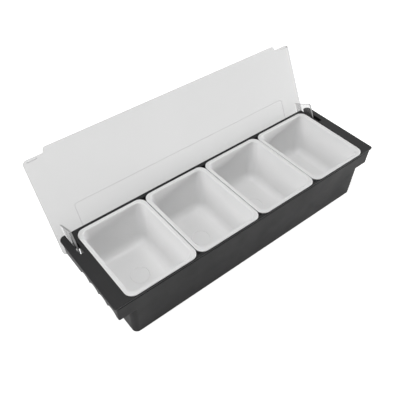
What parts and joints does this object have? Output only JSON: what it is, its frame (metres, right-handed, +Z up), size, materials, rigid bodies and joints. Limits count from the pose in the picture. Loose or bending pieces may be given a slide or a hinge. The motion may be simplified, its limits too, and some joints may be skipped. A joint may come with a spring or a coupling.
{
  "type": "bar garnish tray",
  "caption": "Long drafted tub with drop-skirt end handles, lift-out garnish cups hung by their rims, and a translucent lid that snaps on moulded pivot bars and leans back when open.",
  "frame": {"origin": "centre of the tub's flat underside, which the tray stands on", "axes": "+X along the tray from its left end to its right, +Y from its front to the hinge side, +Z up"},
  "size_m": [0.42, 0.1822, 0.1608],
  "materials": {
    "black_plastic": "satin black moulding with a soft gloss",
    "white_plastic": "smooth white moulding",
    "frosted_plastic": "frosted translucent moulding"
  },
  "bodies": {
    "tray": {"tray_base": "black_plastic"},
    "lid": {"hinged_lid": "frosted_plastic"},
    "cup_1": {"insert_1": "white_plastic"},
    "cup_2": {"insert_2": "white_plastic"},
    "cup_3": {"insert_3": "white_plastic"},
    "cup_4": {"insert_4": "white_plastic"}
  },
  "joints": [
    {"name": "lid_hinge", "type": "hinge", "parent": "tray", "child": "lid", "pos_m": [0, 0.051, 0.06395], "axis": [-1, 0, 0], "range_deg": [-117.12, 0]},
    {"name": "insert_1_lift", "type": "slide", "parent": "tray", "child": "cup_1", "axis": [0, 0, 1], "range_m": [0, 0.08]},
    {"name": "insert_2_lift", "type": "slide", "parent": "tray", "child": "cup_2", "axis": [0, 0, 1], "range_m": [0, 0.08]},
    {"name": "insert_3_lift", "type": "slide", "parent": "tray", "child": "cup_3", "axis": [0, 0, 1], "range_m": [0, 0.08]},
    {"name": "insert_4_lift", "type": "slide", "parent": "tray", "child": "cup_4", "axis": [0, 0, 1], "range_m": [0, 0.08]}
  ]
}
